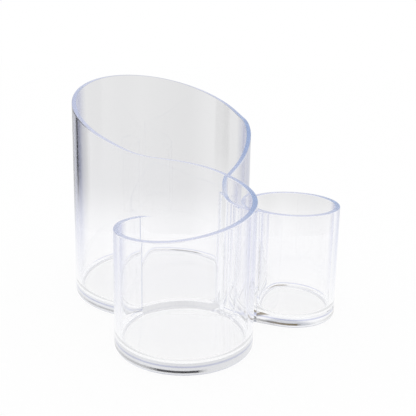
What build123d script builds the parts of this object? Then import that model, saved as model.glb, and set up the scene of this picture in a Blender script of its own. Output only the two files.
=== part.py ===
from build123d import *
import os
from math import acos, asin, atan2, cos, degrees, hypot, radians, sin, sqrt

# Clear moulded brush holder: three round cups whose walls are one continuous ribbon.
# The ribbon starts low at the back left of the front cup, climbs once round it, turns
# over in an S bend into the tall cup, goes round that, and runs down through a tight
# curl into the low cup at the side. Each cup has a thick floor with a coved corner.
# +Z is up, the front cup is towards -Y, and the origin is under the middle of the part.

os.makedirs("parts", exist_ok=True)

# ---------------------------------------------------------------- driving dimensions, mm
WALL = 2.6
TALL_DIAMETER = 100.0
FRONT_DIAMETER = 66.6
SIDE_DIAMETER = 49.0
FRONT_BEARING = -77.6  # degrees, from the tall cup's axis to the front cup's axis
FRONT_OVERLAP = 11.7  # how far the front circle reaches into the tall circle
SIDE_BEARING = -24.5  # degrees, from the tall cup's axis to the side cup's axis
SIDE_GAP = 3.1  # open slot between the tall wall and the side wall
BEND_RADIUS = 20.0  # S bend from the front cup into the tall cup, middle of the wall
CURL_RADIUS = 9.0  # curl from the tall cup towards the side cup, middle of the wall

FLOOR = 4.0
COVE_RADIUS = 4.0  # rounded corner between floor and wall, inside each cup
COVE_LIP = 0.3  # thin top edge that the cove is left with against the wall
CREVICE_ROUND = 5.5  # plan radius of the tall floor's cove in its tightest corner
FOOT_ROUND = 1.0  # rounded outer edge at the table
WELD_ROUND = 1.5  # inside corner where the curl touches the front cup

# Rim heights above the table. The tall cup's rim is a tilted cut. The others are given
# at even steps along their stretch of the wall.
FRONT_RIMS = (54.2, 56.4, 57.8, 60.2, 64.6, 69.5, 74.0, 79.6)  # from the seam, once round
BEND_RIMS = (84.3, 87.0)  # from the front cup to the tall cup
TALL_MEAN_RIM = 101.0
TALL_RIM_RISE = 18.8
TALL_HIGH_SIDE = 122.0  # degrees, the side of the tall cup where its rim is highest
TALL_LEAVE = 25.0  # degrees, where the rim leaves the tilted cut and runs down
RUN_DOWN_RIMS = (95.9, 91.4, 85.4, 79.6)  # from there to the curl
CURL_RIMS = (74.2, 72.0, 68.9, 64.9, 62.9)
STRAIGHT_RIMS = (61.8, 60.5, 59.6, 59.1)  # along the straight run into the side cup
SIDE_RIM = 59.0

RIM_STEP = 20.0  # degrees between the points that carry the tilted rim
RIM_MARGIN = 3.2  # how far the trimming surface runs past each face of the wall
RIM_OVERRUN = 3.0  # degrees that the trimming surface runs past each end of a wall
SEAM_START = 3.0  # degrees from the join at which a ring's thin start is cut square

# ---------------------------------------------------------------- plan of the ribbon
TALL_R = TALL_DIAMETER / 2
FRONT_R = FRONT_DIAMETER / 2
SIDE_R = SIDE_DIAMETER / 2
HALF = WALL / 2


def polar(centre, radius, angle):
    """Point at a distance and an angle in degrees from a centre, in plan."""
    return (
        centre[0] + radius * cos(radians(angle)),
        centre[1] + radius * sin(radians(angle)),
    )


def bearing(start, end):
    """Direction in degrees from one plan point to another."""
    return degrees(atan2(end[1] - start[1], end[0] - start[0]))


def corner(first, second, to_first, to_second, side):
    """Third corner of the triangle on two centres, left (+1) or right (-1) of the line."""
    span = hypot(second[0] - first[0], second[1] - first[1])
    turn = acos((to_first**2 + span**2 - to_second**2) / (2 * to_first * span))
    return polar(first, to_first, bearing(first, second) + side * degrees(turn))


def along_line(start, heading, centre, radius):
    """Point further along a line, at a distance from a centre."""
    span = hypot(start[0] - centre[0], start[1] - centre[1])
    off = radians(bearing(centre, start) - heading)
    across = span * sin(off)
    return polar(start, sqrt(radius**2 - across**2) - span * cos(off), heading)


# The overall box is set by the three circles, and the origin is at its middle.
front_offset = polar((0, 0), TALL_R + FRONT_R - FRONT_OVERLAP, FRONT_BEARING)
side_offset = polar((0, 0), TALL_R + SIDE_R + SIDE_GAP, SIDE_BEARING)
TALL = (
    -(side_offset[0] + SIDE_R - TALL_R) / 2,
    -(front_offset[1] - FRONT_R + TALL_R) / 2,
)
FRONT = (TALL[0] + front_offset[0], TALL[1] + front_offset[1])
SIDE = (TALL[0] + side_offset[0], TALL[1] + side_offset[1])

# Radii of the middle of the wall, and the centres of the two tangent bends.
tall_mid = TALL_R - HALF
front_mid = FRONT_R - HALF
side_mid = SIDE_R - HALF
BEND = corner(TALL, FRONT, tall_mid - BEND_RADIUS, front_mid + BEND_RADIUS, -1)
CURL = corner(TALL, FRONT, tall_mid + CURL_RADIUS, front_mid + CURL_RADIUS + WALL, 1)

bend_leave = bearing(FRONT, BEND)  # on the front circle
bend_start = bend_leave - 180  # on the bend
bend_end = bearing(TALL, BEND)  # on the bend and on the tall circle
curl_on_tall = bearing(TALL, CURL)
curl_start = curl_on_tall + 180
run_span = hypot(SIDE[0] - CURL[0], SIDE[1] - CURL[1])
run_heading = bearing(CURL, SIDE) - degrees(asin((side_mid - CURL_RADIUS) / run_span))
run_side = run_heading - 90  # where the straight run meets curl and side circle
run_start = polar(CURL, CURL_RADIUS, run_side)
run_end = polar(SIDE, side_mid, run_side)

bend_turn = bend_end - bend_start
tall_turn = curl_on_tall - 360 - bend_end
curl_turn = run_side + 360 - curl_start


# ---------------------------------------------------------------- rims
def tall_rim(angle):
    """Height of the tall cup's tilted rim at an angle round its axis."""
    return TALL_MEAN_RIM + TALL_RIM_RISE * cos(radians(angle - TALL_HIGH_SIDE))


def arc_stations(centre, radius, start, turn, heights):
    """Rim points at even steps along an arc: (point, direction to the left, height)."""
    stations = []
    for i, height in enumerate(heights):
        angle = start + turn * i / len(heights)
        left = angle + 180 if turn > 0 else angle
        stations.append((polar(centre, radius, angle), left, height))
    return stations


def line_stations(start, end, heights):
    """Rim points at even steps along a straight run."""
    left = bearing(start, end) + 90
    stations = []
    for i, height in enumerate(heights):
        share = i / len(heights)
        x = start[0] + share * (end[0] - start[0])
        y = start[1] + share * (end[1] - start[1])
        stations.append(((x, y), left, height))
    return stations


# Walls are first drawn taller than any rim, then trimmed to their rims.
blank_height = TALL_MEAN_RIM + TALL_RIM_RISE + FLOOR


def trim_above(stations):
    """Cut away all plastic above the rim that runs through the stations."""
    reach = HALF + RIM_MARGIN
    left_points = [(*polar(point, reach, left), z) for point, left, z in stations]
    right_points = [(*polar(point, -reach, left), z) for point, left, z in stations]
    with BuildLine(mode=Mode.PRIVATE) as left_edge:
        Spline(*left_points)
    with BuildLine(mode=Mode.PRIVATE) as right_edge:
        Spline(*right_points)
    rim = Face.make_surface_from_curves(left_edge.edge(), right_edge.edge())
    extrude(rim, amount=blank_height, dir=(0, 0, 1), mode=Mode.SUBTRACT)


# ---------------------------------------------------------------- ribbon's footprint
# Where curl and front cup touch, a small round on each side fills out the crevice: one
# between curl and front cup, inside the tall cup, and one between front cup and run.
curl_face = CURL_RADIUS + HALF
weld_reach = (curl_face + WELD_ROUND, FRONT_R + WELD_ROUND)
weld_inside = corner(CURL, FRONT, *weld_reach, -1)
beside_run = polar(run_start, HALF + WELD_ROUND, run_side)
weld_outside = along_line(beside_run, run_heading, FRONT, FRONT_R + WELD_ROUND)
weld_corners = [
    polar(CURL, curl_face, bearing(CURL, weld_inside)),
    polar(FRONT, FRONT_R, bearing(FRONT, weld_inside)),
    polar(FRONT, FRONT_R, bearing(FRONT, weld_outside)),
    polar(weld_outside, WELD_ROUND, run_side + 180),
]
with BuildSketch() as weld_web:
    with BuildLine():
        Polyline(*weld_corners, close=True)
    make_face()
    with Locations(weld_inside, weld_outside):
        Circle(WELD_ROUND, mode=Mode.SUBTRACT)
    with Locations(FRONT):
        Circle(FRONT_R, mode=Mode.SUBTRACT)

with BuildSketch() as ribbon:
    with BuildLine():
        CenterArc(BEND, BEND_RADIUS, bend_start, bend_turn)
        CenterArc(TALL, tall_mid, bend_end, tall_turn)
        CenterArc(CURL, CURL_RADIUS, curl_start, curl_turn)
        Line(run_start, run_end)
    trace(line_width=WALL)
    add(weld_web.sketch)


def foot_edges(wall, radius):
    """Outer edges of a cup's wall at the table; the round follows on round the bends."""
    arcs = wall.edges().group_by(Axis.Z)[0].filter_by(GeomType.CIRCLE)
    return arcs.filter_by(lambda arc: abs(arc.radius - radius) < HALF)


# ---------------------------------------------------------------- tall cup's wall
leave_turn = TALL_LEAVE - 360 - bend_end
tall_count = round(-leave_turn / RIM_STEP)
tall_rims = [tall_rim(bend_end + leave_turn * i / tall_count) for i in range(tall_count)]
leave_rims = (tall_rim(TALL_LEAVE), *RUN_DOWN_RIMS)
down_turn = tall_turn - leave_turn
overrun = RIM_OVERRUN / BEND_RADIUS * FRONT_R

tall_stations = arc_stations(BEND, BEND_RADIUS, bend_start + overrun, bend_turn - overrun, BEND_RIMS)
tall_stations += arc_stations(TALL, tall_mid, bend_end, leave_turn, tall_rims)
tall_stations += arc_stations(TALL, tall_mid, TALL_LEAVE - 360, down_turn, leave_rims)
tall_stations += arc_stations(CURL, CURL_RADIUS, curl_start, curl_turn, CURL_RIMS)
tall_stations += line_stations(run_start, run_end, STRAIGHT_RIMS)
tall_stations += arc_stations(SIDE, side_mid, run_side, 2 * RIM_OVERRUN, (SIDE_RIM, SIDE_RIM))

with BuildPart() as tall_cup_wall:
    add(ribbon.sketch)
    extrude(amount=blank_height)
    trim_above(tall_stations)
    fillet(foot_edges(tall_cup_wall, TALL_R), radius=FOOT_ROUND)
tall_cup_wall.part.label = "tall_cup_wall"
export_step(tall_cup_wall.part, "parts/tall_cup_wall.step")

# ---------------------------------------------------------------- front cup's wall
# The ring's thin start lies against the S bend and ends in a feather edge. The rim's low
# and high ends keep clear of each other, just inside that thin start.
seam_clear = SEAM_START / 3
front_start = bend_leave + 2 * seam_clear
front_end = bend_leave + 360 + seam_clear
front_stations = arc_stations(FRONT, front_mid, front_start, front_end - front_start, FRONT_RIMS)
front_stations += arc_stations(FRONT, front_mid, front_end, RIM_OVERRUN, BEND_RIMS[:1])

with BuildPart() as front_cup_wall:
    with BuildSketch():
        with BuildLine():
            CenterArc(FRONT, front_mid, bend_leave + SEAM_START, 360 - SEAM_START)
        trace(line_width=WALL)
        add(ribbon.sketch, mode=Mode.SUBTRACT)
    extrude(amount=blank_height)
    trim_above(front_stations)
    fillet(foot_edges(front_cup_wall, FRONT_R), radius=FOOT_ROUND)
front_cup_wall.part.label = "front_cup_wall"
export_step(front_cup_wall.part, "parts/front_cup_wall.step")

# ---------------------------------------------------------------- side cup's wall
with BuildPart() as side_cup_wall:
    with BuildSketch():
        with BuildLine():
            CenterArc(SIDE, side_mid, run_side, 360 - SEAM_START)
        trace(line_width=WALL)
        add(ribbon.sketch, mode=Mode.SUBTRACT)
    extrude(amount=SIDE_RIM)
    fillet(foot_edges(side_cup_wall, SIDE_R), radius=FOOT_ROUND)
side_cup_wall.part.label = "side_cup_wall"
export_step(side_cup_wall.part, "parts/side_cup_wall.step")


# ---------------------------------------------------------------- floors
def tall_outline(inset, crevice):
    """Arcs round the inside of the tall cup, moved in from its wall."""
    in_crevice = corner(CURL, FRONT, curl_face + inset + crevice, FRONT_R + inset + crevice, -1)
    to_crevice = bearing(CURL, in_crevice) % 360
    at_curl = to_crevice - 180
    at_front = bearing(in_crevice, FRONT)
    from_crevice = at_front + 180
    CenterArc(TALL, tall_mid - HALF - inset, bend_end, tall_turn)
    CenterArc(CURL, curl_face + inset, curl_start, to_crevice - curl_start)
    CenterArc(in_crevice, crevice, at_curl, (at_front - at_curl) % -360)
    CenterArc(FRONT, FRONT_R + inset, from_crevice, (bend_leave - from_crevice) % 360)
    CenterArc(BEND, BEND_RADIUS - HALF - inset, bend_start, bend_turn)


def pocket_corner(floor):
    """Edges at the bottom of a floor's shallow pocket."""
    return floor.faces().filter_by(Axis.Z).sort_by(Axis.Z)[1].edges()


cove_top = FLOOR + COVE_RADIUS + COVE_LIP

with BuildPart() as tall_cup_floor:
    with BuildSketch():
        with BuildLine():
            tall_outline(0, WELD_ROUND)
        make_face()
    extrude(amount=cove_top)
    with BuildSketch(Plane.XY.offset(FLOOR)):
        with BuildLine():
            tall_outline(COVE_LIP, CREVICE_ROUND)
        make_face()
    extrude(amount=cove_top - FLOOR, mode=Mode.SUBTRACT)
    fillet(pocket_corner(tall_cup_floor), radius=COVE_RADIUS)
tall_cup_floor.part.label = "tall_cup_floor"
export_step(tall_cup_floor.part, "parts/tall_cup_floor.step")

with BuildPart() as front_cup_floor:
    with BuildSketch():
        with Locations(FRONT):
            Circle(FRONT_R - WALL)
    extrude(amount=cove_top)
    with BuildSketch(Plane.XY.offset(FLOOR)):
        with Locations(FRONT):
            Circle(FRONT_R - WALL - COVE_LIP)
    extrude(amount=cove_top - FLOOR, mode=Mode.SUBTRACT)
    fillet(pocket_corner(front_cup_floor), radius=COVE_RADIUS)
front_cup_floor.part.label = "front_cup_floor"
export_step(front_cup_floor.part, "parts/front_cup_floor.step")

with BuildPart() as side_cup_floor:
    with BuildSketch():
        with Locations(SIDE):
            Circle(SIDE_R - WALL)
    extrude(amount=cove_top)
    with BuildSketch(Plane.XY.offset(FLOOR)):
        with Locations(SIDE):
            Circle(SIDE_R - WALL - COVE_LIP)
    extrude(amount=cove_top - FLOOR, mode=Mode.SUBTRACT)
    fillet(pocket_corner(side_cup_floor), radius=COVE_RADIUS)
side_cup_floor.part.label = "side_cup_floor"
export_step(side_cup_floor.part, "parts/side_cup_floor.step")
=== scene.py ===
from collections import namedtuple
from math import acos, asin, atan2, ceil, cos, degrees, hypot, pi, radians, sin, sqrt

import bmesh
import bpy
from mathutils import Matrix


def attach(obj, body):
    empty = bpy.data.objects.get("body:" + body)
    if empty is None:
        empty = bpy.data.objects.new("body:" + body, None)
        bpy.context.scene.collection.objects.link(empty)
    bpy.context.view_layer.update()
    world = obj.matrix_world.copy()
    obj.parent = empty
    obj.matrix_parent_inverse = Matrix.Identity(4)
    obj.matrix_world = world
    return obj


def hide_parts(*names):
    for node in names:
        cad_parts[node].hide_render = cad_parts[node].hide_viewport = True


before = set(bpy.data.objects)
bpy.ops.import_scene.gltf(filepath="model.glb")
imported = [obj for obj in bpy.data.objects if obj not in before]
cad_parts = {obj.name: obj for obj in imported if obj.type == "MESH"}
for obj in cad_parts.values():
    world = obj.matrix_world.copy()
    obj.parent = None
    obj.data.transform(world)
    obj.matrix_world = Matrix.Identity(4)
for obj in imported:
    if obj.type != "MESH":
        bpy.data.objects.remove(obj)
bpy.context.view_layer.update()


# ---------------------------------------------------------------- camera
# The photograph is taken from the front, a little above the rims of the low cups, with
# the lens shifted so that the upright walls stay close to parallel.
CAMERA_AT = (0.0002, -0.3150, 0.1427)
LOOK_DOWN = 11.669  # degrees below level
CAMERA_TILT = 1.001  # degrees

camera_data = bpy.data.cameras.new("camera")
camera_data.sensor_width = 36.0
camera_data.lens = 52.70
camera_data.shift_x = 0.0140
camera_data.shift_y = -0.1048
camera = bpy.data.objects.new("camera", camera_data)
bpy.context.scene.collection.objects.link(camera)
look = Matrix.Rotation(radians(90 - LOOK_DOWN), 4, "X")
tilt = Matrix.Rotation(radians(CAMERA_TILT), 4, "Z")
camera.matrix_world = Matrix.Translation(CAMERA_AT) @ look @ tilt
bpy.context.scene.camera = camera
bpy.context.scene.view_settings.view_transform = "Standard"


# ---------------------------------------------------------------- the clear moulding
# The whole holder is one injection moulding in clear plastic: a ribbon of wall that runs
# once round the front cup, through an S bend into the tall cup, round that, and through a
# tight curl into the low side cup. Floors, walls, seams and weld are one piece of plastic.

# Sizes in millimetres, bearings in degrees.
MM = 0.001
WALL = 2.6
HALF = WALL / 2
TALL_R = 50.0
FRONT_R = 33.3
SIDE_R = 24.5
FRONT_BEARING = -77.6
FRONT_OVERLAP = 11.7
SIDE_BEARING = -24.5
SIDE_GAP = 3.1
BEND_RADIUS = 20.0
CURL_RADIUS = 9.0
FLOOR = 4.0
COVE_RADIUS = 4.0
CREVICE_ROUND = 5.5
FOOT_ROUND = 1.0
WELD_ROUND = 1.5
RIM_ROUND = 0.45
FRONT_RIMS = (54.2, 56.4, 57.8, 60.2, 64.6, 69.5, 74.0, 79.6)
BEND_RIMS = (84.3, 87.0)
TALL_MEAN_RIM = 101.0
TALL_RIM_RISE = 18.8
TALL_HIGH_SIDE = 122.0
TALL_LEAVE = 25.0
RUN_DOWN_RIMS = (95.9, 91.4, 85.4, 79.6)
CURL_RIMS = (74.2, 72.0, 68.9, 64.9, 62.9)
STRAIGHT_RIMS = (61.8, 60.5, 59.6, 59.1)
SIDE_RIM = 59.0

# How finely the faces are divided, in degrees, and along the straight run in millimetres.
RIM_STEP = 20.0
LEVEL_RUN = 10.0  # length over which the side rim is known to stay level
FRONT_STEP = 1.7
SEAM_STEP = 1.9
BEND_STEP = 2.4
TALL_STEP = 1.5
CURL_STEP = 4.0
RUN_STEP = 1.2
SIDE_STEP = 2.2
WELD_STEP = 12.0
QUARTER_TURN = range(0, 91, 15)
COVE_TURN = range(0, 91, 10)
NEAR = 0.4  # a row of points close to each end of an upright face keeps its gloss straight
LIFT = 0.8  # and one just above a seam ends its line there
SLACK = 0.01  # degrees within which two bearings count as the same
SAME_PLACE = 0.001
MERGE = 0.0005
SHARP = 35.0


def polar(centre, radius, angle):
    """Plan point at a distance and an angle in degrees from a centre."""
    return (centre[0] + radius * cos(radians(angle)), centre[1] + radius * sin(radians(angle)))


def bearing(start, end):
    """Direction in degrees from one plan point to another."""
    return degrees(atan2(end[1] - start[1], end[0] - start[0]))


def corner(first, second, to_first, to_second, side):
    """Third corner of the triangle on two centres, left (+1) or right (-1) of the line."""
    span = hypot(second[0] - first[0], second[1] - first[1])
    turn = acos((to_first**2 + span**2 - to_second**2) / (2 * to_first * span))
    return polar(first, to_first, bearing(first, second) + side * degrees(turn))


def between(step, *stops):
    """Evenly spaced values about a step apart that pass exactly through every stop."""
    values = [stops[0]]
    for low, high in zip(stops, stops[1:]):
        count = max(1, ceil(abs(high - low) / step))
        values += [low + (high - low) * i / count for i in range(1, count + 1)]
    return values


def turned(angle, near):
    """The same direction, within half a turn of another."""
    return near + (angle - near + 180) % 360 - 180


front_offset = polar((0, 0), TALL_R + FRONT_R - FRONT_OVERLAP, FRONT_BEARING)
side_offset = polar((0, 0), TALL_R + SIDE_R + SIDE_GAP, SIDE_BEARING)
TALL = (-(side_offset[0] + SIDE_R - TALL_R) / 2, -(front_offset[1] - FRONT_R + TALL_R) / 2)
FRONT = (TALL[0] + front_offset[0], TALL[1] + front_offset[1])
SIDE = (TALL[0] + side_offset[0], TALL[1] + side_offset[1])
tall_mid, front_mid, side_mid = TALL_R - HALF, FRONT_R - HALF, SIDE_R - HALF
BEND = corner(TALL, FRONT, tall_mid - BEND_RADIUS, front_mid + BEND_RADIUS, -1)
CURL = corner(TALL, FRONT, tall_mid + CURL_RADIUS, front_mid + CURL_RADIUS + WALL, 1)
bend_leave = bearing(FRONT, BEND)
bend_start = bend_leave - 180
bend_end = bearing(TALL, BEND)
curl_on_tall = bearing(TALL, CURL)
curl_start = curl_on_tall + 180
run_span = hypot(SIDE[0] - CURL[0], SIDE[1] - CURL[1])
run_heading = bearing(CURL, SIDE) - degrees(asin((side_mid - CURL_RADIUS) / run_span))
run_side = run_heading - 90
run_start = polar(CURL, CURL_RADIUS, run_side)
run_end = polar(SIDE, side_mid, run_side)
run_length = hypot(run_end[0] - run_start[0], run_end[1] - run_start[1])

# The rim's height is known at stations along the ribbon and flows smoothly between them.
bend_from = front_mid * 2 * pi
tall_from = bend_from + BEND_RADIUS * radians(bend_start - bend_end)
leave_from = tall_from + tall_mid * radians(bend_end - TALL_LEAVE + 360)
curl_from = tall_from + tall_mid * radians(bend_end - curl_on_tall + 360)
run_from = curl_from + CURL_RADIUS * radians(run_side + 360 - curl_start)
side_from = run_from + run_length
tilted = [
    TALL_MEAN_RIM + TALL_RIM_RISE * cos(radians(bend_end - angle - TALL_HIGH_SIDE))
    for angle in between(RIM_STEP, 0, bend_end - TALL_LEAVE + 360)
]
stretches = [
    (0.0, bend_from, FRONT_RIMS),
    (bend_from, tall_from, BEND_RIMS),
    (tall_from, leave_from, tilted[:-1]),
    (leave_from, curl_from, (tilted[-1], *RUN_DOWN_RIMS)),
    (curl_from, run_from, CURL_RIMS),
    (run_from, side_from, STRAIGHT_RIMS),
    (side_from, side_from + LEVEL_RUN, (SIDE_RIM, SIDE_RIM)),
]
stations = []
for start, end, heights in stretches:
    for i, height in enumerate(heights):
        stations.append((start + (end - start) * i / len(heights), height))


def slope(i):
    """Rise of the rim at a station, from its neighbours."""
    (a, ha), (b, hb) = stations[max(i - 1, 0)], stations[min(i + 1, len(stations) - 1)]
    return (hb - ha) / (b - a)


def shoulder(distance):
    """Height at which the wall's upright face ends and its rounded rim starts."""
    i = 0
    while i < len(stations) - 2 and stations[i + 1][0] < distance:
        i += 1
    (a, ha), (b, hb) = stations[i], stations[i + 1]
    t = min(max((distance - a) / (b - a), 0.0), 1.0)
    ease = t * t * (3 - 2 * t)
    pull = (t * (1 - t) ** 2 * slope(i) - t * t * (1 - t) * slope(i + 1)) * (b - a)
    return ha + (hb - ha) * ease + pull - RIM_ROUND


def ring_shoulder(angle):
    """Shoulder of the front cup's ring at a bearing from its axis."""
    return shoulder(front_mid * radians(angle - bend_leave))


# Places where walls meet: the two seams' clefts, and the rounds beside the weld.
seam_reach = BEND_RADIUS + HALF
seam_cleft = bearing(FRONT, corner(FRONT, BEND, FRONT_R, seam_reach, 1))
side_cleft = run_side + 360 - degrees(acos((side_mid - HALF) / SIDE_R))
curl_face = CURL_RADIUS + HALF
weld_inside = corner(CURL, FRONT, curl_face + WELD_ROUND, FRONT_R + WELD_ROUND, -1)
in_crevice = corner(CURL, FRONT, curl_face + CREVICE_ROUND, FRONT_R + CREVICE_ROUND, -1)
beside_run = polar(run_start, HALF + WELD_ROUND, run_side)
off = radians(bearing(FRONT, beside_run) - run_heading)
span = hypot(beside_run[0] - FRONT[0], beside_run[1] - FRONT[1])
weld_along = sqrt((FRONT_R + WELD_ROUND) ** 2 - (span * sin(off)) ** 2) - span * cos(off)
weld_outside = polar(beside_run, weld_along, run_heading)


def before_run_end(angle):
    """How far before the run's end a line from the side cup's axis meets its inner face."""
    lean = radians(run_side + 360 - angle)
    return (side_mid - HALF) * sin(lean) / cos(lean)


# Bearings and distances at which the faces are divided.
front_weld = [bearing(FRONT, p) + 360 for p in (weld_outside, CURL, weld_inside, in_crevice)]
weld_from, weld_middle, weld_to, crevice_to = front_weld
front_angles = between(FRONT_STEP, seam_cleft, *front_weld, bend_leave + 360)
seam_angles = between(SEAM_STEP, bend_leave, seam_cleft)
crevice_on_curl = bearing(CURL, in_crevice) % 360
weld_on_curl = bearing(CURL, weld_inside) % 360
touch_on_curl = bearing(CURL, FRONT) % 360
curl_angles = between(
    CURL_STEP, curl_start, crevice_on_curl, weld_on_curl, touch_on_curl, run_side + 360
)
cleft_back = before_run_end(side_cleft)
run_steps = between(RUN_STEP, 0.0, weld_along, run_length - cleft_back)
side_angles = between(SIDE_STEP, run_side, side_cleft)
side_seam = between(SIDE_STEP, side_cleft, run_side + 360)


def seam_face(angle):
    """Where the S bend's face lies behind the front ring's thin start."""
    reach = hypot(BEND[0] - FRONT[0], BEND[1] - FRONT[1])
    lean = radians(angle - bend_leave)
    away = reach * cos(lean) - sqrt(seam_reach**2 - (reach * sin(lean)) ** 2)
    return polar(FRONT, away, angle)


# Left and right face points, direction to the left, shoulder, and distance along the ribbon.
Column = namedtuple("Column", "left right out edge along")


def ribbon_column(kind, at):
    """Column through the wall at a bearing, or on the straight run at a distance."""
    if kind == "bend":
        middle, left = polar(BEND, BEND_RADIUS, at), at
        distance = bend_from + BEND_RADIUS * radians(bend_start - at)
    elif kind == "tall":
        middle, left = polar(TALL, tall_mid, at), at
        distance = tall_from + tall_mid * radians(bend_end - at)
    elif kind == "curl":
        middle, left = polar(CURL, CURL_RADIUS, at), at + 180
        distance = curl_from + CURL_RADIUS * radians(at - curl_start)
    else:
        middle, left = polar(run_start, at, run_heading), run_heading + 90
        distance = run_from + at
    edge = max(shoulder(distance), SIDE_RIM - RIM_ROUND)
    return Column(polar(middle, HALF, left), polar(middle, -HALF, left), left, edge, distance)


seam_bends = [turned(bearing(BEND, seam_face(angle)), bend_start) for angle in seam_angles]
bend_seam = [ribbon_column("bend", a) for a in seam_bends]
bend_rest = [ribbon_column("bend", a) for a in between(BEND_STEP, seam_bends[-1], bend_end)]
tall_all = [ribbon_column("tall", a) for a in between(TALL_STEP, bend_end, curl_on_tall - 360)]
curl_all = [ribbon_column("curl", a) for a in curl_angles]
run_open = [ribbon_column("run", step) for step in run_steps]
run_seam = [ribbon_column("run", run_length - before_run_end(a)) for a in side_seam]

mesh = bmesh.new()
depth_and_shade = mesh.verts.layers.float.new("depth_and_shade")


def skin(columns, depths=()):
    """Quads between neighbouring columns of points, each column given from bottom to top."""
    rows = [
        [mesh.verts.new((x * MM, y * MM, z * MM)) for x, y, z in column] for column in columns
    ]
    for row, depth in zip(rows, depths):
        for point in row:
            point[depth_and_shade] = depth
    for here, there in zip(rows, rows[1:]):
        for i in range(len(here) - 1):
            mesh.faces.new((here[i], there[i], there[i + 1], here[i + 1]))


def plate(points):
    """One flat face round a loop of points."""
    mesh.faces.new([mesh.verts.new((x * MM, y * MM, z * MM)) for x, y, z in points])


def upright(point, heights):
    """Points above one plan point."""
    return [(point[0], point[1], z) for z in heights]


cove_top = FLOOR + COVE_RADIUS
seam_low = shoulder(0.0)
seam_high = ring_shoulder(seam_cleft)
weld_low = shoulder(run_from + weld_along)
weld_high = shoulder(curl_from + CURL_RADIUS * radians(weld_on_curl - curl_start))
weld_touch = shoulder(curl_from + CURL_RADIUS * radians(touch_on_curl - curl_start))
side_edge = SIDE_RIM - RIM_ROUND

# Front cup's inner face, with the thin start of the ring.
front_loop = seam_angles[:-1] + front_angles
columns = []
for a in front_loop:
    top = ring_shoulder(a)
    near = max(seam_low, top - NEAR)
    heights = (cove_top, cove_top + NEAR, seam_low, min(seam_low + LIFT, near), near, top)
    columns.append(upright(polar(FRONT, FRONT_R - WALL, a), heights))
skin(columns)

# Face of the S bend that stands above the seam.
columns = []
for a, c in zip(seam_angles, bend_seam):
    heights = (ring_shoulder(a), ring_shoulder(a) + LIFT, c.edge - NEAR, c.edge)
    columns.append(upright(c.left, heights))
skin(columns)

# Inside of the tall cup.
to_weld = [c for c, a in zip(curl_all, curl_angles) if a <= weld_on_curl + SLACK]
inside = bend_seam + bend_rest[1:] + tall_all[1:] + to_weld[1:]
inside_low = (cove_top, cove_top + NEAR, weld_high)
skin([
    upright(c.right, (*inside_low, max(weld_high, c.edge - NEAR), c.edge)) for c in inside
])
arc_from = bearing(weld_inside, CURL)
arc_to = turned(bearing(weld_inside, FRONT), arc_from)
inner_arc = [
    (polar(weld_inside, WELD_ROUND, a), a + 180) for a in between(WELD_STEP, arc_from, arc_to)
]
skin([upright(point, inside_low) for point, _ in inner_arc])
past_weld = [a for a in front_angles if a >= weld_to - SLACK]
columns = []
for a in past_weld:
    top = ring_shoulder(a)
    heights = (*inside_low, max(weld_high, top - NEAR), top)
    columns.append(upright(polar(FRONT, FRONT_R, a), heights))
skin(columns)

# Front cup's outer face above the weld, and the two small webs beside the touching line.
across_weld = [a for a in front_angles if weld_from - SLACK <= a <= weld_to + SLACK]
web_tops = []
for a in across_weld:
    if a <= weld_middle:
        share = (a - weld_from) / (weld_middle - weld_from)
        web_tops.append(weld_low + (weld_touch - weld_low) * share)
    else:
        share = (a - weld_middle) / (weld_to - weld_middle)
        web_tops.append(weld_touch + (weld_high - weld_touch) * share)
columns = []
for i, (a, z) in enumerate(zip(across_weld, web_tops)):
    lifted = z + LIFT * (1 - i / (len(across_weld) - 1))
    heights = (z, lifted, ring_shoulder(a) - NEAR, ring_shoulder(a))
    columns.append(upright(polar(FRONT, FRONT_R, a), heights))
skin(columns)
ring_edge = [(*polar(FRONT, FRONT_R, a), z) for a, z in zip(across_weld, web_tops)]
touch_at = min(range(len(across_weld)), key=lambda i: abs(across_weld[i] - weld_middle))
to_touch = [c for c, a in zip(curl_all, curl_angles) if a <= touch_on_curl + SLACK]
curl_in = to_touch[len(to_weld) - 1:]
curl_out = [c for c, a in zip(curl_all, curl_angles) if a >= touch_on_curl - SLACK]
to_round = [c for c, d in zip(run_open, run_steps) if d <= weld_along + SAME_PLACE]
outer_from = bearing(weld_outside, polar(run_start, weld_along, run_heading))
outer_to = turned(bearing(weld_outside, FRONT), outer_from)
outer_arc = [
    (polar(weld_outside, WELD_ROUND, a), a + 180)
    for a in between(WELD_STEP, outer_from, outer_to)
]
inner_web = [(*c.right, c.edge) for c in curl_in]
inner_web += ring_edge[touch_at + 1:]
inner_web += [(*point, weld_high) for point, _ in reversed(inner_arc[1:-1])]
plate(inner_web)
outer_web = [(*c.right, c.edge) for c in curl_out + to_round[1:]]
outer_web += [(*point, weld_low) for point, _ in outer_arc[1:]]
outer_web += ring_edge[1:touch_at]
plate(outer_web)

# Outside, walked once round: bend, tall cup, curl, run, side cup, run, weld, front cup.
around = []


def outer(point, out, mid, near, top):
    """Add one column of the outside to the walk."""
    low = FOOT_ROUND
    around.append((point, out, (low, low + NEAR, mid, min(mid + LIFT, near), near, top)))


def skin_outside(start):
    """Skin the columns walked since a place in the round."""
    skin([upright(point, heights) for point, _, heights in around[start:]])


def side_mid_row(distance):
    """Row that rises from the front seam's height to the side seam's."""
    start = bend_from + BEND_RADIUS * radians(bend_start - seam_bends[-1])
    end = side_from - cleft_back
    return seam_high + (side_edge - seam_high) * (distance - start) / (end - start)


for c in bend_rest + tall_all[1:] + curl_all[1:] + run_open[1:]:
    mid = side_mid_row(c.along)
    outer(c.left, c.out, mid, max(mid, c.edge - NEAR), c.edge)
skin_outside(0)

side_starts = len(around)
for a in reversed(side_angles):
    edge = side_edge if a == side_angles[-1] else side_edge - NEAR
    outer(polar(SIDE, SIDE_R, a), a, edge, edge, side_edge)
skin_outside(side_starts)

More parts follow.
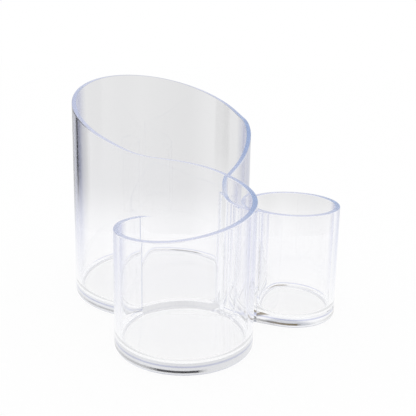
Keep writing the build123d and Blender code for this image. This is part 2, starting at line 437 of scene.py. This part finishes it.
run_starts = len(around) - 1
for c in run_seam[::-1][1:] + run_open[::-1][1:]:
    past_round = c.along - run_from - weld_along
    if past_round < -SAME_PLACE:
        continue
    near = c.edge if abs(past_round) < SAME_PLACE else c.edge - NEAR
    outer(c.right, c.out + 180, near, near, c.edge)
for point, out in outer_arc[1:]:
    outer(point, out, weld_low, weld_low, weld_low)
skin_outside(run_starts)

front_starts = len(around)
for a in reversed([a for a in front_angles if a <= weld_from + SLACK]):
    edge = ring_shoulder(a)
    at_cleft = a == front_angles[0]
    near = edge if at_cleft else edge - NEAR
    mid = edge if at_cleft else min(weld_low, near)
    outer(polar(FRONT, FRONT_R, a), a, mid, near, edge)
skin_outside(front_starts)

# Face of the run that stands above the side cup's seam.
columns = []
for c in run_seam:
    near = max(side_edge, c.edge - NEAR)
    columns.append(upright(c.left, (side_edge, min(side_edge + LIFT, near), near, c.edge)))
skin(columns)

# Side cup's inner face.
side_loop = side_angles + side_seam[1:]
side_heights = (cove_top, cove_top + NEAR, side_edge - NEAR, side_edge)
skin([upright(polar(SIDE, SIDE_R - WALL, a), side_heights) for a in side_loop])

# Rims. How deep they look is marked on the points, to suit the camera's view, together with a
# painted shade: a rim that runs away from the front is marked darker, and less so on the left
# of its cup.
LEFT_SHADE = 0.45
THIN_RIM = 0.45  # most of a thin wall's width that each side of its rim may take
THINNEST = 0.01


def rim(left, right, edge):
    """Rounded top of the wall from its left face to its right face."""
    width = hypot(right[0] - left[0], right[1] - left[1])
    bulge = min(RIM_ROUND, THIN_RIM * width)
    rise = [(bulge * (1 - cos(radians(a))), bulge * sin(radians(a))) for a in QUARTER_TURN]
    column = [(inset, edge + up) for inset, up in rise]
    column += [(width - inset, edge + up) for inset, up in reversed(rise)]
    points = []
    for across, z in column:
        share = across / width if width > 1e-6 else 0.5
        x = left[0] + (right[0] - left[0]) * share
        y = left[1] + (right[1] - left[1]) * share
        points.append((x, y, z))
    return points


def rims(walls, centre):
    """Rims along a row of walls, marked with how deep they look and with a painted shade."""
    columns, depths = [], []
    for left, right, edge in walls:
        columns.append(rim(left, right, edge))
        width = max(THINNEST, hypot(right[0] - left[0], right[1] - left[1]))
        across = abs(right[0] - left[0]) / width
        # painted shade: a rim on the left of its cup is marked lighter than one on the right
        depths.append(across**2 * (1.0 if left[0] > centre[0] else LEFT_SHADE))
    skin(columns, depths)


rims([
    (polar(FRONT, FRONT_R - WALL, a), seam_face(a), ring_shoulder(a)) for a in seam_angles
], FRONT)
rims([
    (polar(FRONT, FRONT_R - WALL, a), polar(FRONT, FRONT_R, a), ring_shoulder(a))
    for a in front_angles
], FRONT)
ribbon = bend_seam + bend_rest[1:] + tall_all[1:] + curl_all[1:] + run_open[1:] + run_seam[1:]
rims([(c.left, c.right, c.edge) for c in ribbon], TALL)
rims([
    (polar(SIDE, SIDE_R - WALL, a), polar(SIDE, SIDE_R, a), side_edge) for a in side_angles
], SIDE)
rims([
    (polar(SIDE, SIDE_R - WALL, a), c.left, side_edge) for a, c in zip(side_seam, run_seam)
], SIDE)


def coved(loop):
    """Rounded corner from the wall down to the floor, and the flat of the floor."""
    columns = []
    for point, out in loop:
        column = []
        for a in COVE_TURN:
            inset = COVE_RADIUS * (1 - cos(radians(a)))
            column.append((*polar(point, inset, out), cove_top - COVE_RADIUS * sin(radians(a))))
        columns.append(column[::-1])
    skin(columns + columns[:1])
    plate([column[0] for column in columns])


coved([(polar(FRONT, FRONT_R - WALL, a), a + 180) for a in front_loop[:-1]])
coved([(polar(SIDE, SIDE_R - WALL, a), a + 180) for a in side_loop[:-1]])

# In the tall cup's tightest corner the cove keeps a wider round than the wall above it.
plain = [(c.right, c.out + 180) for c in inside]
in_corner = [a for a in curl_angles if crevice_on_curl + SLACK < a <= weld_on_curl + SLACK]
plain_count = len(inside) - len(in_corner)
crevice_wall = [c.right for c in inside[plain_count - 1:]]
crevice_wall += [point for point, _ in inner_arc[1:]]
crevice_wall += [
    polar(FRONT, FRONT_R, a) for a in past_weld if weld_to + SLACK < a <= crevice_to + SLACK
]
turn_from = bearing(in_crevice, CURL)
turn_to = turned(bearing(in_crevice, FRONT), turn_from)
crevice_cove = []
for i in range(len(crevice_wall)):
    a = turn_from + (turn_to - turn_from) * i / (len(crevice_wall) - 1)
    crevice_cove.append((polar(in_crevice, CREVICE_ROUND, a), a + 180))
skin([
    [(*wall, cove_top), (*cove[0], cove_top)] for wall, cove in zip(crevice_wall, crevice_cove)
])
beyond = [(polar(FRONT, FRONT_R, a), a) for a in past_weld if a > crevice_to + SLACK]
coved(plain[:plain_count] + crevice_cove[1:] + beyond[:-1])

# Rounded foot and flat underside. Where the outside turns on the spot, the foot fans round.
FAN_OVER = 5.0  # degrees
FAN = (0.2, 0.4, 0.6, 0.8)
foot = []
for i, (point, out, _) in enumerate(around):
    foot.append((point, out))
    after, next_out, _ = around[(i + 1) % len(around)]
    swing = turned(next_out, out) - out
    if hypot(after[0] - point[0], after[1] - point[1]) < 1e-6 and abs(swing) > FAN_OVER:
        foot += [(point, out + swing * share) for share in FAN]
columns = []
for point, out in foot:
    column = []
    for a in QUARTER_TURN:
        inset = FOOT_ROUND * (1 - cos(radians(a)))
        column.append((*polar(point, -inset, out), FOOT_ROUND * (1 - sin(radians(a)))))
    columns.append(column[::-1])
skin(columns + columns[:1])
plate([column[0] for column in columns])

bmesh.ops.remove_doubles(mesh, verts=mesh.verts, dist=MERGE * MM)
bmesh.ops.recalc_face_normals(mesh, faces=mesh.faces)

# The seams and the weld are deep lines of plastic too, from above the foot to their tops.
LINE_FOOT = 1.2
LINE_OVER = 0.1
for (x, y), reach, top, depth in (
    (polar(FRONT, FRONT_R, seam_cleft), 0.3, seam_high, 1.9),
    (polar(SIDE, SIDE_R, side_cleft), 0.3, side_edge, 1.4),
    (weld_inside, 1.6, weld_high, 1.10),
    (weld_outside, 1.6, weld_low, 1.10),
):
    for point in mesh.verts:
        there = hypot(point.co.x / MM - x, point.co.y / MM - y) < reach
        if there and LINE_FOOT < point.co.z / MM < top + LINE_OVER:
            point[depth_and_shade] = depth

for face in mesh.faces:
    face.smooth = True
for edge in mesh.edges:
    if edge.calc_face_angle(0) > radians(SHARP):
        edge.smooth = False
moulding_data = bpy.data.meshes.new("holder_moulding")
mesh.to_mesh(moulding_data)
mesh.free()
moulding = bpy.data.objects.new("holder_moulding", moulding_data)
bpy.context.scene.collection.objects.link(moulding)


def feed(tree, socket, value):
    """Set a socket to a value, or link it from another socket."""
    if isinstance(value, bpy.types.NodeSocket):
        tree.links.new(value, socket)
    else:
        socket.default_value = value


def calculate(tree, operation, *values):
    """Result of a sum on one or two values."""
    made = tree.nodes.new("ShaderNodeMath")
    made.operation = operation
    for socket, value in zip(made.inputs, values):
        feed(tree, socket, value)
    return made.outputs["Value"]


def remap(tree, value, given, wanted=(0.0, 1.0), kind="LINEAR"):
    """Spread one range of values over another, held at its ends."""
    made = tree.nodes.new("ShaderNodeMapRange")
    made.interpolation_type = kind
    feed(tree, made.inputs["Value"], value)
    feed(tree, made.inputs["From Min"], given[0])
    feed(tree, made.inputs["From Max"], given[1])
    feed(tree, made.inputs["To Min"], wanted[0])
    feed(tree, made.inputs["To Max"], wanted[1])
    return made.outputs["Result"]


def noise(tree, vector, scale, detail):
    """Soft random pattern in space."""
    made = tree.nodes.new("ShaderNodeTexNoise")
    feed(tree, made.inputs["Vector"], vector)
    feed(tree, made.inputs["Scale"], scale)
    feed(tree, made.inputs["Detail"], detail)
    return made.outputs["Fac"]


def separate(tree, vector):
    """The three parts of a vector."""
    made = tree.nodes.new("ShaderNodeSeparateXYZ")
    feed(tree, made.inputs["Vector"], vector)
    return made.outputs


def blend(tree, factor, first, second):
    """Colour between two others."""
    made = tree.nodes.new("ShaderNodeMix")
    made.data_type = "RGBA"
    feed(tree, made.inputs["Factor"], factor)
    feed(tree, made.inputs["A"], first)
    feed(tree, made.inputs["B"], second)
    return made.outputs["Result"]


def mix_shaders(tree, factor, first, second):
    """Surface between two others."""
    made = tree.nodes.new("ShaderNodeMixShader")
    feed(tree, made.inputs["Fac"], factor)
    feed(tree, made.inputs[1], first)
    feed(tree, made.inputs[2], second)
    return made.outputs["Shader"]


CLEAR = (1.0, 1.0, 1.0, 1.0)
# Lavender and steel blue: the plastic's tint seen edgewise, partly painted shade and reflection
# at edges and rims.
LAVENDER = (0.46, 0.49, 0.72, 1.0)
STEEL_BLUE = (0.11, 0.19, 0.45, 1.0)
WALL_LIGHT = (0.99, 0.99, 0.995, 1.0)
WALL_DARK = (0.975, 0.975, 0.985, 1.0)
# The next four colours are painted reflections round the foot.
REFLECTION_BLACK = (0.002, 0.002, 0.003, 1.0)
REFLECTION_BROWN = (0.07, 0.04, 0.006, 1.0)
REFLECTED_OUTLINE_GREY = (0.38, 0.40, 0.46, 1.0)
REFLECTED_FLOOR_LINE = (0.48, 0.51, 0.72, 1.0)
INSIDE_BLUE = (0.30, 0.38, 0.72, 1.0)

plastic = bpy.data.materials.new("clear_plastic")
plastic.use_nodes = True
tree = plastic.node_tree
shader = tree.nodes["Principled BSDF"]
shader.inputs["Base Color"].default_value = CLEAR
shader.inputs["IOR"].default_value = 1.53
shader.inputs["Transmission Weight"].default_value = 1.0
place = tree.nodes.new("ShaderNodeTexCoord").outputs["Object"]
spot = separate(tree, place)

# The polish is a little uneven, and the faces wave very slightly as moulded ones do.
haze = noise(tree, place, 60.0, 3.0)
feed(tree, shader.inputs["Roughness"], remap(tree, haze, (0.35, 0.75), (0.0, 0.06)))
flow = tree.nodes.new("ShaderNodeMapping")
flow.inputs["Scale"].default_value = (1.0, 1.0, 0.25)
feed(tree, flow.inputs["Vector"], place)
wave = noise(tree, flow.outputs["Vector"], 35.0, 1.0)
bump = tree.nodes.new("ShaderNodeBump")
bump.inputs["Strength"].default_value = 0.05
bump.inputs["Distance"].default_value = 0.0004
feed(tree, bump.inputs["Height"], wave)
feed(tree, shader.inputs["Normal"], bump.outputs["Normal"])

# Seen along its thickness the plastic is lavender, and steel blue where it is deepest: at the
# rims, and down each cup's outline. That colour is painted on by the angle of view, the height
# and the depth marked on the points. It is partly the plastic's own tint and partly painted
# shade and reflection that darkens the edges and rims, fading out towards the foot. The floors
# look straight through and stay clear.
normal_z = separate(tree, tree.nodes.new("ShaderNodeNewGeometry").outputs["Normal"])["Z"]
edgewise = tree.nodes.new("ShaderNodeLayerWeight")
edgewise.inputs["Blend"].default_value = 0.5
grazing = remap(tree, edgewise.outputs["Facing"], (0.55, 0.76), (0.0, 0.90))
upward = remap(tree, normal_z, (0.15, 0.85))
above_foot = remap(tree, spot["Z"], (0.005, 0.045))
on_edge = calculate(tree, "MULTIPLY", calculate(tree, "MAXIMUM", grazing, upward), above_foot)
marked = tree.nodes.new("ShaderNodeAttribute")
marked.attribute_name = "depth_and_shade"
depth = marked.outputs["Fac"]
edge_or_seam = calculate(tree, "MAXIMUM", on_edge, remap(tree, depth, (1.0, 2.0)))
edge_tint_and_shade = blend(tree, depth, LAVENDER, STEEL_BLUE)
wall_tint = blend(tree, wave, WALL_LIGHT, WALL_DARK)
off_floor = remap(tree, spot["Z"], (0.008, 0.016))
standing = blend(tree, off_floor, CLEAR, wall_tint)
tint = blend(tree, edge_or_seam, standing, edge_tint_and_shade)

# The dark line seen low round the foot is a painted reflection, in the lengths seen from the
# front and browner under the side cup, with a painted grey outline under it and a painted
# lavender line at the floor's level.
flank = remap(tree, calculate(tree, "ABSOLUTE", normal_z), (0.95, 0.60))


def foot_line(low, high):
    """Soft line round the foot between two heights, in millimetres, where a reflection is
    painted.
    """
    middle, half = (low + high) / 2 * MM, (high - low) / 2 * MM
    away = calculate(tree, "ABSOLUTE", calculate(tree, "SUBTRACT", spot["Z"], middle))
    line = remap(tree, away, (half, half * 0.4), kind="SMOOTHSTEP")
    return calculate(tree, "MULTIPLY", line, flank)


REFLECTION_STRENGTHS = (  # from the holder's left to its right
    (0.02, 0.2), (0.10, 0.6), (0.25, 0.5), (0.34, 0.6), (0.38, 1.0), (0.50, 1.0), (0.53, 0.0),
    (0.66, 0.0), (0.70, 0.6), (0.76, 0.95), (0.84, 1.0), (0.86, 0.1), (0.92, 0.2), (0.97, 0.5),
)
reflection_lengths = tree.nodes.new("ShaderNodeValToRGB")
stops = reflection_lengths.color_ramp.elements
for at, strength in REFLECTION_STRENGTHS:
    stops.new(at).color = (strength, strength, strength, 1.0)
stops.remove(stops[-1])
stops.remove(stops[0])
feed(tree, reflection_lengths.inputs["Fac"], remap(tree, spot["X"], (-0.0726, 0.0726)))
dark_reflection = calculate(tree, "MULTIPLY", foot_line(1.2, 2.9), reflection_lengths.outputs["Color"])
browner = remap(tree, spot["X"], (0.028, 0.036))
lined = blend(tree, dark_reflection, tint, blend(tree, browner, REFLECTION_BLACK, REFLECTION_BROWN))
outlined = blend(tree, foot_line(-0.2, 0.8), lined, REFLECTED_OUTLINE_GREY)
edged = blend(tree, foot_line(3.8, 4.9), outlined, REFLECTED_FLOOR_LINE)
feed(tree, shader.inputs["Base Color"], edged)

# Light that has turned many times inside the wall leaves it, and light passes to the table.
path = tree.nodes.new("ShaderNodeLightPath").outputs
turned_often = calculate(tree, "GREATER_THAN", path["Glossy Depth"], 2.5)
deep = calculate(tree, "GREATER_THAN", path["Ray Depth"], 9.5)
either = calculate(tree, "MAXIMUM", turned_often, deep)
straight = calculate(tree, "MAXIMUM", either, path["Is Shadow Ray"])
through = tree.nodes.new("ShaderNodeBsdfTransparent")
through.inputs["Color"].default_value = CLEAR
surface = mix_shaders(tree, straight, shader.outputs["BSDF"], through.outputs["BSDF"])
feed(tree, tree.nodes["Material Output"].inputs["Surface"], surface)
absorb = tree.nodes.new("ShaderNodeVolumeAbsorption")
absorb.inputs["Color"].default_value = INSIDE_BLUE
absorb.inputs["Density"].default_value = 1.5
feed(tree, tree.nodes["Material Output"].inputs["Volume"], absorb.outputs["Volume"])
moulding_data.materials.append(plastic)
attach(moulding, "root")
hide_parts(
    "tall_cup_wall", "front_cup_wall", "side_cup_wall",
    "tall_cup_floor", "front_cup_floor", "side_cup_floor",
)


# ---------------------------------------------------------------- table and light
# The holder stands on a plain white table under soft light, against plain white. Standing
# cards that only the plastic sees give its walls their pale grey and its left edge a dark
# line. They are set for the photograph's view, and from the side they show as dark patches.
TABLE_Z = -0.0004
TABLE_GLOW = 0.93


def sheet(name, size):
    """Mesh of one flat square."""
    flat = bmesh.new()
    bmesh.ops.create_grid(flat, x_segments=1, y_segments=1, size=size)
    data = bpy.data.meshes.new(name)
    flat.to_mesh(data)
    flat.free()
    return data


table_data = sheet("table", 3.0)
table = bpy.data.objects.new("table", table_data)
table.location = (0.0, 0.0, TABLE_Z)
bpy.context.scene.collection.objects.link(table)
white = bpy.data.materials.new("white_table")
white.use_nodes = True
tree = white.node_tree
table_shader = tree.nodes["Principled BSDF"]
table_shader.inputs["Base Color"].default_value = (0.97, 0.97, 0.97, 1.0)
table_shader.inputs["Roughness"].default_value = 0.3
glow = tree.nodes.new("ShaderNodeEmission")
glow.inputs["Color"].default_value = (1.0, 1.0, 1.0, 1.0)
glow.inputs["Strength"].default_value = 1.0
path = tree.nodes.new("ShaderNodeLightPath").outputs
seen = calculate(tree, "MAXIMUM", path["Is Camera Ray"], path["Is Glossy Ray"])
seen = calculate(tree, "MAXIMUM", seen, path["Is Transmission Ray"])
share = calculate(tree, "MULTIPLY", seen, TABLE_GLOW)
surface = mix_shaders(tree, share, table_shader.outputs["BSDF"], glow.outputs["Emission"])
feed(tree, tree.nodes["Material Output"].inputs["Surface"], surface)
table_data.materials.append(white)


def card(name, centre, width, height, facing, foot_shade, shade, fade, only_reflected):
    """Standing card, shaded from its foot up over the height of the fade."""
    data = sheet(name, 0.5)
    held = bpy.data.objects.new(name, data)
    held.matrix_world = (
        Matrix.Translation(centre) @ Matrix.Rotation(radians(facing), 4, "Z")
        @ Matrix.Rotation(radians(90), 4, "X") @ Matrix.Diagonal((width, height, 1.0, 1.0))
    )
    bpy.context.scene.collection.objects.link(held)
    held.visible_camera = False
    held.visible_diffuse = False
    held.visible_shadow = False
    paper = bpy.data.materials.new(name)
    paper.use_nodes = True
    tree = paper.node_tree
    across = separate(tree, tree.nodes.new("ShaderNodeTexCoord").outputs["Object"])
    foot_at = (-0.5, -0.5 + fade / height)
    rise = remap(tree, across["Y"], foot_at, (foot_shade, shade), "SMOOTHSTEP")
    streaks = tree.nodes.new("ShaderNodeTexNoise")
    streaks.noise_dimensions = "1D"
    streaks.inputs["Scale"].default_value = width * 25
    streaks.inputs["Detail"].default_value = 1.0
    feed(tree, streaks.inputs["W"], across["X"])
    soft = remap(tree, streaks.outputs["Fac"], (0.3, 0.7), (0.96, 1.03))
    glow = tree.nodes.new("ShaderNodeEmission")
    feed(tree, glow.inputs["Strength"], calculate(tree, "MULTIPLY", rise, soft))
    shown = glow.outputs["Emission"]
    if only_reflected:
        turns = tree.nodes.new("ShaderNodeLightPath").outputs["Glossy Depth"]
        reflected = calculate(tree, "GREATER_THAN", turns, 0.5)
        clear = tree.nodes.new("ShaderNodeBsdfTransparent")
        shown = mix_shaders(tree, reflected, clear.outputs["BSDF"], shown)
    feed(tree, tree.nodes["Material Output"].inputs["Surface"], shown)
    data.materials.append(paper)


# A pale grey card behind is seen through the walls. The two at the left are only reflected.
card("grey_back", (0.0, 0.12, 0.15), 0.60, 0.30, 0.0, 0.97, 0.79, 0.040, False)
card("black_left", (-0.172, 0.092, 0.07), 0.046, 0.14, 59.0, 0.95, 0.0, 0.05, True)
card("grey_left", (-0.190, 0.053, 0.07), 0.060, 0.14, 80.0, 0.95, 0.25, 0.05, True)

world = bpy.data.worlds.new("studio")
bpy.context.scene.world = world
world.use_nodes = True
world.node_tree.nodes["Background"].inputs["Color"].default_value = (1.0, 1.0, 1.0, 1.0)
world.node_tree.nodes["Background"].inputs["Strength"].default_value = 1.0
